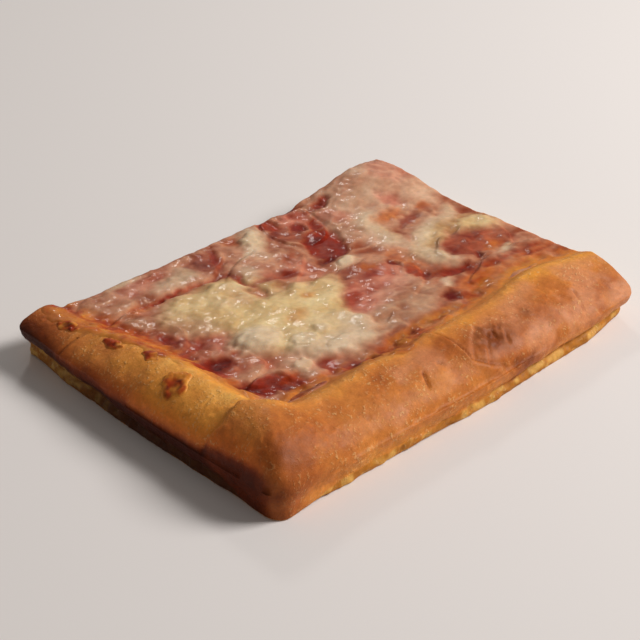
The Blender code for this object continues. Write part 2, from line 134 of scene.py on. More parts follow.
# The topping is laid in patches, each over the ones before: middle x, y, half length, half width,
# turn in degrees and strength.
PATCHES = (
    # Ham and thin cheese along the long cut side, down to the gap that shows the sauce.
    ("grey", -50, 51, 12, 9, 0, 0.4),
    ("ham", -36, 55, 13, 5, 10, 0.45),
    # The white streak at (-25, 48.5) is a painted highlight, where glints lie on the cheese.
    ("white", -25, 48.5, 11, 4.5, 12, 0.6),
    ("white", -41, 60, 6, 2.5, 0, 0.6),
    ("mauve", -13, 51, 6, 7, 0, 0.8),
    ("sauce", -7, 50.5, 8.5, 1.7, 65, 0.95),
    ("oil", -49, 39.5, 6, 3, 0, 0.7),
    ("sauce", -31, 40.3, 19, 1.2, -4, 0.95),
    ("deep", -34, 40, 5, 1.2, -5, 1),
    ("sauce", -26, 37, 3.6, 2.6, 0, 1),
    ("grey", -53, 33, 8, 4, 120, 0.85),
    ("grey", -44, 34, 5, 5, 0, 0.5),
    # Golden cheese baked over the left border.
    ("oil", -66, 22, 8, 38, 0, 0.9),
    ("toast", -68, 50, 5, 9, 0, 0.6),
    ("oil", -73, 46.5, 3, 4.5, -10, 0.8),
    ("sauce", -69, 59.5, 6, 2.4, 10, 0.9),
    ("oil", -70.5, 36, 2.6, 6, 10, 0.8),
    ("sauce", -64, 32, 1.6, 7, -40, 0.6),
    ("sauce", -69, 6, 2.4, 4, 0, 0.6),
    ("sauce", -70.5, 23.5, 2.6, 2.2, 0, 0.6),
    ("oil", -62, 27, 4, 6, -30, 0.7),
    # Left side, between the golden band and the white cheese.
    ("sauce", -55, 17, 6.5, 2.4, 62, 0.95),
    ("mauve", -50, 11, 5, 8, 20, 0.85),
    ("mauve", -56, 3, 6, 6, 30, 0.8),
    ("sauce", -52, 7, 5, 1.6, 30, 0.7),
    ("ham", -45, 0, 4, 7, 0, 0.5),
    ("sauce", -61.5, -2, 2, 8, -25, 0.7),
    ("sauce", -56, -7, 7.5, 5, 0, 0.9),
    ("deep", -54, -6.5, 4.5, 3.2, 0, 1),
    ("sauce", -65.5, -13, 4, 3.4, 30, 0.7),
    ("mauve", -52, -14, 8, 3, 0, 0.95),
    ("sauce", -58, -13, 3.2, 3, 0, 0.8),
    ("sauce", -57, -26, 5, 8, 30, 0.9),
    ("deep", -57.5, -26, 3, 6, 30, 1),
    ("sauce", -50, -27, 6.5, 5, 0, 0.9),
    ("deep", -47, -32.5, 4, 4.5, 0, 1),
    ("film", -48, -18, 9, 3.2, 6, 0.65),
    ("sauce", -42, -15.5, 2.4, 4, -30, 0.5),
    ("oil", -43.5, -31, 3, 5, 20, 0.7),
    # Thick white and creamy cheese in the middle.
    ("cream", -28, 22, 21, 16, 0, 0.88),
    ("cream", -20, -3, 20, 18, 0, 1),
    ("cream", -1, 6, 12, 10, 35, 0.85),
    ("grey", -45, 18, 6, 8, 20, 0.6),
    ("white", -36, -4, 8.5, 7, 0, 0.95),
    ("white", -17, -20, 17, 12.5, -12, 0.85),
    ("cream", -20, -12, 11, 6, 0, 0.7),
    ("blush", -36, -26.5, 5.5, 7, -10, 0.9),
    ("oil", -37.5, -35.5, 5, 2.2, 10, 0.7),
    ("sauce", -44, -32, 3, 4, 20, 0.85),
    ("mauve", -28, -36, 7, 6, -15, 0.9),
    ("sauce", -31, -32, 3, 4, 0, 0.7),
    ("deep", -25.5, -42, 6.5, 3.6, 20, 1),
    ("grey", -23, -34, 4, 2.2, 0, 0.55),
    ("grey", -22, 20, 6, 4.5, 0, 0.4),
    ("toast", -5, 6, 2.4, 2.4, 0, 0.75),
    ("toast", -18, -3, 5, 3, 30, 0.5),
    ("mauve", -14, 20, 2.8, 4.2, 0, 0.75),
    # Fold of ham with a red edge, and pinkish film behind the middle.
    ("ham", 5, 24, 9, 12, 0, 0.6),
    ("film", 2, 33, 7, 6, 0, 0.8),
    ("mauve", -5, 24, 8.5, 3, -8, 0.85),
    ("white", -7, 34, 3.4, 5, 0, 0.5),
    ("sauce", -12.6, 32, 6.5, 1.5, 97, 0.95),
    ("sauce", 2, 21.5, 2.2, 1.6, 0, 0.5),
    ("white", 11, 50, 12, 4.2, 62, 0.85),
    ("white", 3, 43, 5, 1.6, 20, 0.6),
    ("oil", 6, 56.5, 3, 3, 0, 0.7),
    # Bare ham and sauce near the back.
    ("mauve", 24, 47, 7, 8, 0, 0.8),
    ("sauce", 24, 56.5, 3.4, 5.5, -15, 0.9),
    ("ham", 33, 53, 6, 6, 0, 0.9),
    ("deep", 29, 46.5, 3.4, 4.2, -30, 1),
    ("sauce", 37, 44, 6, 3.6, 20, 1),
    ("deep", 38, 60, 4.5, 1.8, -10, 1),
    ("sauce", 27.5, 30, 12.5, 7.5, 55, 1),
    ("sauce", 34, 33, 3, 5, -20, 0.7),
    ("mauve", 24, 26, 4, 2.2, 40, 0.6),
    ("deep", 19, 20.5, 3.6, 2, 20, 1),
    ("white", 22, 14, 5, 3, 30, 0.9),
    # The large bare ham slice, and the wrinkled film in front of it.
    ("ham", 15, -8, 18, 10, 28, 1),
    ("mauve", 18, 4, 9, 6, 30, 0.6),
    ("blush", 18, -14, 14, 5, 25, 0.5),
    ("mauve", 15, -6.5, 4.5, 3, 20, 0.6),
    ("oil", 24, 5, 3, 2.6, 0, 0.8),
    ("deep", 32, 1, 1.6, 3.2, 0, 1),
    ("sauce", 33, -10, 3, 6, -20, 0.85),
    ("oil", 37, 0, 3.4, 9, 0, 0.55),
    ("grey", 10, -26, 17, 7.5, 8, 0.95),
    ("grey", 22, -19, 5, 4, 0, 0.7),
    # The white streak at (33.5, -23) is a painted highlight.
    ("white", 33.5, -23, 4, 2.2, 50, 0.6),
    ("mauve", 17, -36, 8, 2.6, 22, 0.5),
    # Cheese and ham at the right.
    ("blush", 64, 40, 24, 22, 0, 0.85),
    ("blush", 43.5, 28, 7, 20, 0, 0.8),
    ("white", 60, 44, 7, 5, 0, 0.2),
    ("ham", 78, 48, 7, 10, 0, 0.5),
    ("ham", 44, 42, 4, 7, 20, 0.6),
    ("white", 46.5, 16, 9, 3.6, 75, 0.65),
    ("white", 48, 28, 8, 4.5, 60, 0.7),
    ("oil", 56, 27, 7, 4, 0, 0.8),
    ("ham", 64.5, 34.5, 3.2, 4.5, 0, 0.8),
    ("sauce", 47, 53, 5.5, 3, 20, 0.95),
    ("sauce", 61, 20.5, 6.5, 2.6, 25, 0.8),
    ("oil", 71, 22.5, 3.4, 2.6, 0, 0.85),
    ("cream", 57, 5, 14, 4.5, 20, 0.65),
    # The white streaks at (57.5, 9) and (74, 13) are painted highlights along a chain of glints.
    ("white", 57.5, 9, 11, 3, 26, 0.75),
    ("white", 74, 13, 7, 3, 30, 0.6),
    ("sauce", 79, 11, 1.8, 3, -20, 0.45),
    ("cream", 74, 0, 8, 6, 0, 0.85),
    ("mauve", 60, -9, 12, 8, 10, 1),
    ("mauve", 70, -12, 7, 7, 0, 0.85),
    ("white", 46, -6, 9, 4.2, 88, 0.8),
    ("deep", 56, -17, 1.5, 1.5, 0, 1),
    ("oil", 66, -16, 4, 2.6, 0, 0.7),
    ("sauce", 42, -18.5, 8, 2.2, -20, 0.95),
    ("sauce", 54, -24.5, 8, 2, -14, 0.8),
    ("sauce", 69, -26, 8, 1.8, -8, 0.65),
    ("white", 67, -20.5, 3.4, 1.2, 20, 0.7),
    # Oily edge along the long crust.
    ("oil", 43, -28, 12, 4, 8, 0.85),
    ("oil", 66, -31, 20, 4, 3, 0.6),
    ("sauce", 38, -32.5, 8, 1.1, 8, 0.55),
    ("sauce", 73, -30, 8, 1.4, -5, 0.45),
    ("deep", 26.5, -31.5, 3.4, 2.3, 35, 1),
    ("oil", 32, -37, 5, 2.8, 20, 0.9),
    ("oil", -5, -43.5, 17, 6.5, -4, 0.8),
    ("sauce", -8, -37.5, 8, 1.6, 0, 0.55),
    ("sauce", 4, -36, 4, 1.6, 30, 0.5),
    ("sauce", -11, -48.5, 9, 1.3, -3, 0.7),
    ("toast", -8, -43, 5, 2, 20, 0.6),
    ("toast", -2, -37, 6.5, 2.4, 6, 0.8),
    ("toast", 11, -37, 6.5, 2.6, -4, 0.8),
    ("toast", 20.5, -37, 3.4, 2, 10, 0.7),
    ("toast", 41, -33.5, 5.5, 2.4, 5, 0.8),
    ("toast", 53, -34, 4, 1.8, 0, 0.6),
    ("toast", 64, -35, 6, 1.8, -4, 0.6),
)
# What each kind of patch leaves, in millimetres: cheese thickness, softness of its edge, depth of its hollow.
# Toast only tints the cheese that is there.
KINDS = {
    "cream": (1.9, 4.0, 0.0),
    "white": (2.2, 2.8, 0.0),
    "grey": (0.9, 2.8, 0.0),
    "film": (0.5, 2.8, 0.0),
    "ham": (0.2, 2.2, 0.0),
    "blush": (1.0, 3.0, 0.0),
    "mauve": (0.2, 2.2, 0.2),
    "oil": (0.5, 2.4, 0.0),
    "toast": (0.0, 2.0, 0.0),
    "sauce": (0.15, 1.3, 0.35),
    "deep": (0.12, 1.5, 0.7),
}
# Kinds that are little marbled.
PLAIN = ("cream", "white", "blush", "toast", "sauce", "deep")
# Thickness of the film between patches, and the half width from which a patch is as thick as its kind.
FILM = 0.5
FULL_PATCH = 6.0

# Rounded lumps of cheese: middle, half lengths, turn in degrees, and height.
LUMPS = (
    (-36.5, -5, 7, 5.5, -30, 0.9),
    (-27, -15.5, 4.6, 3.6, -30, 0.7),
    (-19.5, -25.5, 4.5, 3, -20, 0.5),
    (-18.5, -14.5, 4, 3.2, 0, 0.5),
    (-36.5, -26.5, 5, 3.6, 20, 0.7),
    (22, 14, 4.5, 2.8, 30, 0.7),
    (10, 51.5, 6, 3.2, 62, 0.6),
    (-20, 28, 6, 4.5, 10, 0.4),
)

# Fold in the crust where the front corner's lobe laps over the left rim: points along it, and its height.
FOLD = ((-90, -31), (-84.5, -33), (-79.5, -36), (-75.8, -35.4), (-71, -34.4), (-64.4, -40.6), (-60, -46))
FOLD_LIFT = 2.2
# Creases in the crust: points along each, its width, depth, which also sets how dark its painted shade is,
# and the height of its left shoulder.
CREASES = (
    (((0, -45), (2.2, -50), (3.2, -55.3), (3.2, -61), (8.3, -64.2), (14.8, -66)), 0.6, 0.9, 0.9),
    (((13.7, -52.5), (8.5, -56.5), (5, -60.5)), 0.6, 0.5, 0.4),
    (((16, -56), (12.5, -59.5), (9, -63.8)), 0.6, 0.5, 0.5),
    (((18.4, -56.6), (18, -58.6)), 0.6, 0.9, 0),
    (((21.5, -59.6), (20.6, -61.8)), 0.5, 0.8, 0),
    (((59, -57), (58, -60.5), (56.6, -63.4)), 0.5, 0.7, 0.3),
    (((-15.6, -57.8), (-17.2, -62)), 0.5, 0.9, 0.2),
    (((-8.4, -57.2), (-6.8, -57.8)), 0.6, 0.6, 0),
    (((-83, 38.8), (-78, 38.2), (-72.5, 36.5), (-69, 36)), 0.6, 0.7, 0.3),
    (FOLD[1:-1], 0.9, 0.4, 0),
)

# Baked crisps on the bare crust: middle x, y, half length, half width, turn in degrees, height and redness.
CRISPS = (
    (-75, -10.5, 6, 5, 60, 1.1, 0.35),
    (-70, 7, 3, 4.6, 10, 1.1, 0.8),
    (-73, 24, 2.6, 4.2, 10, 1, 1),
    (-74, 45.5, 3, 4.4, 15, 1.1, 0.7),
)

# Places where the crust is baked browner: middle x, y, reach along x and y, and how much.
BROWNER = (
    (-79, -62, 8, 8, 0.12),
    (36, -57, 13, 6, 0.20),
    (16, -59, 9, 6, 0.28),
    (-6, -53, 18, 7, 0.20),
    (-83, 58, 5, 10, 0.50),
)
# Lines from which the left and the long crust sides' colours are measured.
SIDE_X = -84.0
SIDE_Y = -66.5

# Bread mesh: steps along the sides, corners and height, and rings inwards, fine near the crust.
SIDE_STEP = 0.62
CORNER_POINTS = 16
WALL_RINGS = 30
TOP_STEP = 0.62
FINE_DEPTH = 34.0
DEEP_RINGS = (36.0, 40.0, 46.0, 54.0)
SPINE_HALF = 18.0
SPINE_DEPTH = 66.0
# Grids of the toppings and of the crisps.
GRID = 0.6
CRISP_GRID = 0.3
# Stretches of x and of y that hold the toppings.
TOPPED = (-86, 88, -58, 64)


def lattice(i, j, k, seed):
    """A fixed pseudo-random number from -1 to 1 for each whole-numbered place."""
    h = (i * 374761393 + j * 668265263 + k * 2147483647 + seed * 1442695041) & 0xFFFFFFFF
    h = ((h ^ (h >> 13)) * 1274126177) & 0xFFFFFFFF
    return (h ^ (h >> 16)) / 2147483648.0 - 1.0


def noise(x, y, size, seed, z=None):
    """Smooth lumps about one size across, from -1 to 1, in two dimensions or in three."""
    i, j = np.floor(x / size).astype(np.int64), np.floor(y / size).astype(np.int64)
    a, b = x / size - i, y / size - j
    a, b = a * a * (3 - 2 * a), b * b * (3 - 2 * b)

    def level(k):
        low = lattice(i, j, k, seed) * (1 - a) + lattice(i + 1, j, k, seed) * a
        high = lattice(i, j + 1, k, seed) * (1 - a) + lattice(i + 1, j + 1, k, seed) * a
        return low * (1 - b) + high * b

    if z is None:
        return level(0)
    k = np.floor(z / size).astype(np.int64)
    c = z / size - k
    c = c * c * (3 - 2 * c)
    return level(k) * (1 - c) + level(k + 1) * c


def ramp(low, high, value):
    """A smooth step from 0 to 1."""
    t = np.clip((value - low) / (high - low), 0, 1)
    return t * t * (3 - 2 * t)


def bell(value, middle, width, power=2):
    """1 in the middle, falling smoothly to 0 on both sides."""
    return np.exp(-np.abs((value - middle) / width) ** power)


def mix(first, second, share):
    """Colours between two others, one for each share."""
    share = np.asarray(share)[..., None]
    return np.asarray(first) * (1 - share) + np.asarray(second) * share


def display(*color):
    """A linear colour from display values of 0 to 255."""
    return np.array([((c / 255 + 0.055) / 1.055) ** 2.4 if c > 10 else c / 255 / 12.92 for c in color])


def from_corner(x, y):
    """Distance from the front corner."""
    return np.hypot(x - FRONT[0], y - FRONT[1])


def beyond(start, end, x, y):
    """How far a point lies to the left of the line from start to end."""
    along = np.array(end[:2]) - np.array(start[:2])
    along = along / np.hypot(*along)
    return along[0] * (y - start[1]) - along[1] * (x - start[0])


def inside_cuts(x, y):
    """Distance inside the two cut sides, uneven as the knife left them."""
    distance = np.minimum(beyond(RIGHT, BACK, x, y), beyond(BACK, LEFT, x, y))
    return distance + CUT_RAGGED * noise(x, y, 13.0, 11)


def inside_border(x, y):
    """Distance inside the border between bare crust and toppings."""
    from_left = x - BORDER_X + BORDER_X_SPREAD * ramp(10, 55, y) - 1.2 * noise(x, y, 12.0, 5)
    from_front = y - BORDER_Y - BORDER_Y_BUMP * bell(x, 55, 18) - 1.2 * noise(x, y, 13.0, 6)
    corner = np.hypot(np.maximum(BORDER_ROUND - from_left, 0), np.maximum(BORDER_ROUND - from_front, 0))
    return BORDER_ROUND - corner + np.maximum(np.minimum(from_left, from_front) - BORDER_ROUND, 0)


def bread_height(x, y):
    """Top of the bread under the toppings: low at the long cut side, high at the back corner."""
    level = BREAD_HEIGHT + BREAD_RISE_X * x / 80 - BREAD_FALL_Y * (y - 5) / 55
    return level + BACK_RISE * bell(x, 76, 26) * bell(y, 54, 24) + 0.5 * noise(x, y, 40.0, 3)


def fold_side(x, y):
    """Positive on the front corner's lobe, which laps over the left rim."""
    return np.interp(x, *zip(*FOLD)) - y


def crest_height(x, y):
    """Height of the crust's crest: puffed at the front corner, lower at the left end."""
    puff = CORNER_PUFF * bell(from_corner(x, y), 0, 42)
    lumps = CREST_LUMPS * noise(x, y, 27.0, 21)
    fold = FOLD_LIFT * ramp(-0.8, 1.6, fold_side(x, y)) * ramp(-54, -66, x)
    return CREST_HEIGHT + puff + lumps + fold - LEFT_END_DROP * ramp(-20, 60, y)


def lip_height(x, y):
    """Height of the crust's widest line, which climbs towards the two cut ends."""
    return LIP_HEIGHT + LIP_RISE * (ramp(58, 84, x) + ramp(34, 62, y))


def crust_height(x, y):
    """Round top of the crust, rising from the lip along both crust sides."""
    toward_right = np.clip(1 - (y - FRONT[1]) / ROUND_RIGHT, 0, 1)
    toward_left = np.clip(1 - (x - FRONT[0]) / ROUND_LEFT, 0, 1)
    out = (toward_right ** CORNER_POWER + toward_left ** CORNER_POWER) ** (2 / CORNER_POWER)
    pointed = RIGHT_END_POINTED * ramp(42, 84, x) + LEFT_END_POINTED * ramp(30, 62, y)
    lip = lip_height(x, y)
    return lip + (crest_height(x, y) - lip) * np.clip(1 - out, 0, 1) ** (0.5 + pointed)


def dough_height(x, y):
    """Top of the dough: crust outside the border, and a gentle hollow inside it."""
    inner = ramp(-BORDER_ROLL, BORDER_SLOPE - BORDER_ROLL, inside_border(x, y))
    return crust_height(x, y) * (1 - inner) + bread_height(x, y) * inner


def blisters(x, y, z):
    """Tiny blisters in the crust's skin, in loose groups."""
    return ramp(0.30, 0.75, noise(x, y, 1.3, 30, z)) * ramp(-0.4, 0.4, noise(x, y, 9.0, 31, z))


def crust_bumps(x, y, z):
    """Unevenness of the bare crust's skin, wrinkled beside the large fold."""
    broad = 0.26 * noise(x, y, 5.5, 23, z) + 0.10 * noise(x, y, 2.3, 24, z) + 0.05 * noise(x, y, 1.1, 25, z)
    wrinkled = bell(x, 15.5, 6.0) * bell(y, -57, 4.5)
    wrinkles = 0.7 * (0.4 - np.abs(noise(x, y, 2.8, 32, z)) * 2) * wrinkled
    return broad + wrinkles + 0.14 * blisters(x, y, z)


def skin_height(x, y):
    """Top of the crust with the unevenness of its skin."""
    level = dough_height(x, y)
    return level + crust_bumps(x, y, level) * ramp(3, -1, inside_border(x, y))


def oval_place(x, y, shape):
    """Places in a turned oval, as shares of its half length and of its half width."""
    turn = np.radians(shape[4])
    along = np.cos(turn) * (x - shape[0]) + np.sin(turn) * (y - shape[1])
    across = np.cos(turn) * (y - shape[1]) - np.sin(turn) * (x - shape[0])
    return along / shape[2], across / shape[3]


def blob(x, y, shape):
    """1 in the middle of a turned oval, 0 on its edge and less outside."""
    along, across = oval_place(x, y, shape)
    return 1 - along ** 2 - across ** 2


def patch_reach(x, y, shape):
    """Distance inside a turned oval, in millimetres, below zero outside it."""
    return (1 - np.hypot(*oval_place(x, y, shape))) * min(shape[2], shape[3])


def warped(x, y, amount, size, seed):
    """The same places, pushed about so that ovals become natural outlines."""
    return x + amount * noise(x, y, size, seed), y + amount * noise(x, y, size, seed + 1)


def strands(x, y):
    """Drawn-out cheese and wrinkles: high along winding lines, low between them."""
    u, v = warped(x, y, 2.2, 6.0, 405)
    return 0.45 - 1.5 * np.abs(noise(u, v, 5.0, 407)) + 0.3 * noise(u, v, 2.4, 408)


def kind_colors(x, y):
    """Colour of each kind of topping, mottled."""
    even = 0.5 + 0.35 * noise(x, y, 7.0, 401) + 0.12 * noise(x, y, 1.2, 403)
    drawn = strands(x, y)
    tints = {}
    for kind, (first, second) in KIND_COLORS.items():
        marbled = 0.2 if kind in PLAIN else 0.5
        tints[kind] = mix(first, second, np.clip(even - marbled * drawn, 0, 1))
    return tints


def patch_places(x, y):
    """The places at which patches are looked up, and the unevenness of their edges."""
    u, v = warped(x, y, 1.3, 7.0, 81)
    u, v = warped(u, v, 0.7, 2.8, 83)
    return u, v, 0.45 * noise(x, y, 1.7, 85) + 0.2 * noise(x, y, 0.9, 86)


def patch_share(u, v, edge, kind, shape):
    """Share of the surface that one patch takes, softer at its edge for the wider ones."""
    softness = min(KINDS[kind][1], 0.8 * min(shape[2], shape[3]))
    return shape[5] * ramp(-softness, softness, patch_reach(u, v, shape) + edge)


def lump_height(u, v, edge):
    """Height of the rounded lumps of cheese."""
    height = np.zeros(np.shape(u))
    for shape in LUMPS:
        inside = np.clip((patch_reach(u, v, shape) + edge) / min(shape[2], shape[3]), 0, 1)
        height = np.maximum(height, shape[5] * np.sqrt(1 - (1 - inside) ** 2))
    return height


def lay_patches(x, y):
    """Colour of the topping's surface, and thickness of its cheese."""
    u, v, edge = patch_places(x, y)
    tints = kind_colors(x, y)
    color = tints["film"]
    film = FILM + 0.2 * noise(x, y, 6.0, 87)
    for kind, *shape in PATCHES:
        share = patch_share(u, v, edge, kind, shape)
        color = mix(color, tints[kind], share)
        if kind != "toast":
            thickness = KINDS[kind][0] * min(1.0, min(shape[2], shape[3]) / FULL_PATCH)
            film = film * (1 - share) + thickness * share
    border = inside_border(x, y)
    near_crust = ramp(10.0, 3.0, border)
    bubbly = ramp(0.05, 0.45, noise(x, y, 3.4, 95)) * near_crust
    color = mix(color, tints["toast"], 0.75 * bubbly)
    red = ramp(0.15, 0.5, noise(x, y, 3.0, 96)) * near_crust * ramp(-1, 3, border)
    color = mix(color, tints["sauce"], 0.6 * red)
    film = film + 0.5 * bubbly
    lumps = 0.24 * noise(x, y, 5.2, 88) + 0.10 * noise(x, y, 2.7, 89)
    lumps = lumps + 0.25 * strands(x, y) * ramp(1.6, 0.6, film)
    lumps = lumps * (0.5 + 0.9 * ramp(-0.3, 0.5, noise(x, y, 14.0, 97)))
    round_lumps = lump_height(u, v, edge)
    color = mix(color, tints["white"], 0.6 * ramp(0.1, 0.5, round_lumps))
    return color, np.maximum(film + lumps * np.clip(film, 0, 1.3), 0.1) + round_lumps


def hollows(x, y):
    """How deep the surface sinks where sauce shows between the toppings."""
    u, v, edge = patch_places(x, y)
    depth = np.zeros(np.shape(x))
    for kind, *shape in PATCHES:
        if KINDS[kind][2] > 0:
            depth = np.maximum(depth, patch_share(u, v, edge, kind, shape) * KINDS[kind][2])
    return depth * ramp(1, 5, inside_border(x, y))


def sauce_height(x, y):
    """Top of the sauce."""
    border = inside_border(x, y)
    thick = THINNEST + (SAUCE_THICK - THINNEST + 0.3 * noise(x, y, 9.0, 31)) * ramp(0, TAPER, border)
    pulp = 0.18 * noise(x, y, 3.1, 33) + 0.08 * noise(x, y, 1.4, 34)
    return dough_height(x, y) + thick + pulp * ramp(-1, 3, border) - hollows(x, y)


def ham_mask(number, x, y):
    """Positive on one ham slice, which keeps clear of the other slices."""
    u, v = warped(x, y, 2.0, 8.0, 101 + number)
    own = blob(u, v, HAM_SLICES[number])
    for other, shape in enumerate(HAM_SLICES):
        if other != number:
            own = np.minimum(own, own - blob(u, v, shape) - HAM_APART)
    uneven = own + 0.12 * noise(x, y, 9.0, 41 + number) - 0.04
    inside = np.minimum(inside_border(x, y) - 1.0, inside_cuts(x, y) - CUT_SETBACK)
    return np.minimum(uneven * 8, inside)


def ham_rise(number, x, y, mask):
    """Height of one wavy ham slice over the sauce, rounded off at its edge."""
    border = inside_border(x, y)
    wave = HAM_WAVE * (0.6 + 0.6 * noise(x, y, 11.0, 61 + number))
    thick = THINNEST + (HAM_THICK - THINNEST + wave) * ramp(0, TAPER, border)
    turn = 0.7 + 0.9 * number
    bend = np.cos(turn) * x + np.sin(turn) * y + 2.5 * noise(x, y, 7.0, 161 + number)
    folds = 0.28 * np.sin(bend * 0.7) * (0.5 + 0.5 * noise(x, y, 9.0, 181 + number))
    wrinkles = 0.30 * (1 - 2.5 * np.abs(noise(x, y, 4.2, 221 + number)))
    wrinkles = wrinkles + 0.12 * (1 - 2.5 * np.abs(noise(x, y, 2.1, 201 + number)))
    fine = wrinkles * ramp(-0.5, 0.5, noise(x, y, 10.0, 241 + number))
    rise = thick + (folds + fine) * ramp(0, 5, border)
    return rise * np.sqrt(1 - (1 - np.clip(mask / 1.1, 0, 1)) ** 2)


def ground(x, y):
    """Top of sauce and ham together."""
    rise = np.zeros(np.shape(x))
    for number in range(len(HAM_SLICES)):
        mask = ham_mask(number, x, y)
        rise = np.maximum(rise, ham_rise(number, x, y, mask) * (mask > 0))
    return sauce_height(x, y) + rise


def topping_height(x, y):
    """Level of the toppings' upper surface, from which thick cheese rises."""
    typical_ham = 0.5 * HAM_THICK + 0.6 * HAM_WAVE
    return sauce_height(x, y) + typical_ham * ramp(0, TAPER, inside_border(x, y))


def overflow(x, y):
    """How far the baked edge of the cheese runs out over the bare crust."""
    left = ramp(-12, 0, y) * ramp(-45, -60, x)
    front = bell(x, -6, 16) * ramp(-30, -38, y)
    ragged = 1.2 * noise(x, y, 6.0, 71) + 0.6 * noise(x, y, 2.8, 72) + 0.15 * noise(x, y, 1.2, 73)
    return 1.0 + 6.5 * left + 5.0 * front + ragged * (1 + left)


def bare_strip(x, y):
    """How far the crust's own colour reaches over the edge of the toppings, in two stretches."""
    near_corner = 6.5 * bell(x, -47, 12, power=4) * ramp(-28, -36, y)
    return near_corner + 3.0 * ramp(16, 30, x) * ramp(-26, -34, y)


def outline():
    """Points round the lip, anticlockwise, and each point's direction inwards."""
    corners = [np.array(c[:2]) for c in (FRONT, RIGHT, BACK, LEFT)]
    radii = [c[2] for c in (FRONT, RIGHT, BACK, LEFT)]
    ends = []
    for k in range(4):
        before = corners[k - 1] - corners[k]
        after = corners[(k + 1) % 4] - corners[k]
        before, after = before / np.hypot(*before), after / np.hypot(*after)
        half = np.arccos(np.dot(before, after)) / 2
        middle = corners[k] + (before + after) / np.hypot(*(before + after)) * radii[k] / np.sin(half)
        start = np.arctan2(*(corners[k] + before * radii[k] / np.tan(half) - middle)[::-1])
        turns = start + np.linspace(0, np.pi - 2 * half, CORNER_POINTS)
        ends.append(middle + radii[k] * np.stack([np.cos(turns), np.sin(turns)], 1))
    points = []
    for k in range(4):
        gap = ends[(k + 1) % 4][0] - ends[k][-1]
        steps = np.linspace(0, 1, int(np.hypot(*gap) / SIDE_STEP))[1:-1, None]
        points += [ends[k], ends[k][-1] + steps * gap]
    points = np.concatenate(points)
    along = np.roll(points, -1, 0) - np.roll(points, 1, 0)
    inward = np.stack([-along[:, 1], along[:, 0]], 1) / np.hypot(along[:, 0], along[:, 1])[:, None]
    x, y = points.T
    on_crust = crust_share(x, y)
    cut = CUT_RAGGED * noise(x, y, 13.0, 11)
    lump = CRUST_RAGGED * noise(x, y, 24.0, 12)
    front_bow = FRONT_BOW * bell(x, 3, 26) * (1 - ramp(6, 12, y - FRONT[1]))
    left_bow = LEFT_BOW * np.clip(1 - ((y + 5) / 55) ** 2, 0, 1) * (1 - ramp(6, 12, x - FRONT[0]))
    out = cut * (1 - on_crust) + lump * on_crust + front_bow + left_bow
    return points - inward * out[:, None], inward


def foot_inset(x, y, share):
    """How far the foot stands in from the lip at a share of the height, towards +X and towards +Y."""
    inset = np.interp(share, FOOT_SHARES, FOOT_INSETS)
    groove = GROOVE * bell(share, 0.4, 0.13)
    slope = (1 - share) ** 1.2
    near_corner = 1 - 0.8 * bell(from_corner(x, y), 0, 14)
    to_right = inset * near_corner + groove * ramp(-30, 20, y) + LEFT_END_INSET * slope * ramp(34, 62, y)
    to_back = inset * near_corner + groove * ramp(-15, 30, x) + RIGHT_END_INSET * slope * ramp(56, 84, x)
    on_left = 1 - ramp(9, 22, x - FRONT[0])
    on_front = 1 - ramp(9, 22, y - FRONT[1])
    return np.stack([to_right * on_left, to_back * on_front], 1)


def crust_share(x, y):
    """1 on the two crust sides of the outline, 0 on its cut sides."""
    return np.maximum(1 - ramp(9, 22, y - FRONT[1]), 1 - ramp(9, 22, x - FRONT[0]))


def crease_reach(route, x, y):
    """Distance from one crease, and on which side of it."""
    best = np.full(np.shape(x), 1e9)
    side = np.zeros(np.shape(x))
    for (ax, ay), (bx, by) in zip(route, route[1:]):
        length = np.hypot(bx - ax, by - ay)
        share = np.clip(((x - ax) * (bx - ax) + (y - ay) * (by - ay)) / length ** 2, 0, 1)
        reach = np.hypot(x - ax - share * (bx - ax), y - ay - share * (by - ay))
        turn = ((bx - ax) * (y - ay) - (by - ay) * (x - ax)) / length
        side = np.where(reach < best, turn, side)
        best = np.minimum(best, reach)
    return best, side


def creases(x, y):
    """Height that the crust's creases and their shoulders add, and how dark the painted shade in the creases
    and pocks is.
    """
    total = np.zeros(np.shape(x))
    dark = np.zeros(np.shape(x))
    for route, width, depth, shoulder in CREASES:
        best, side = crease_reach(route, x, y)
        total = total - depth * bell(best, 0, width)
        total = total + shoulder * bell(best, 0, 4 * width) * ramp(0.5, -0.5, side)
        dark = np.maximum(dark, (depth - 0.4) * bell(best, 0, 0.9 * width))
    pocks = ramp(0.2, 0.45, noise(x, y, 1.5, 34)) * bell(x, 17.5, 4.5) * bell(y, -57.5, 3.0)
    return total - 0.5 * pocks, np.maximum(dark, 0.8 * pocks)


def vertex_normals(points, triangles):
    """Unit normals of a mesh's points."""
    a, b, c = (points[triangles[:, k]] for k in range(3))
    faces = np.cross(b - a, c - a)
    normals = np.zeros_like(points)
    for k in range(3):
        np.add.at(normals, triangles[:, k], faces)
    return normals / np.maximum(np.linalg.norm(normals, axis=1), 1e-12)[:, None]


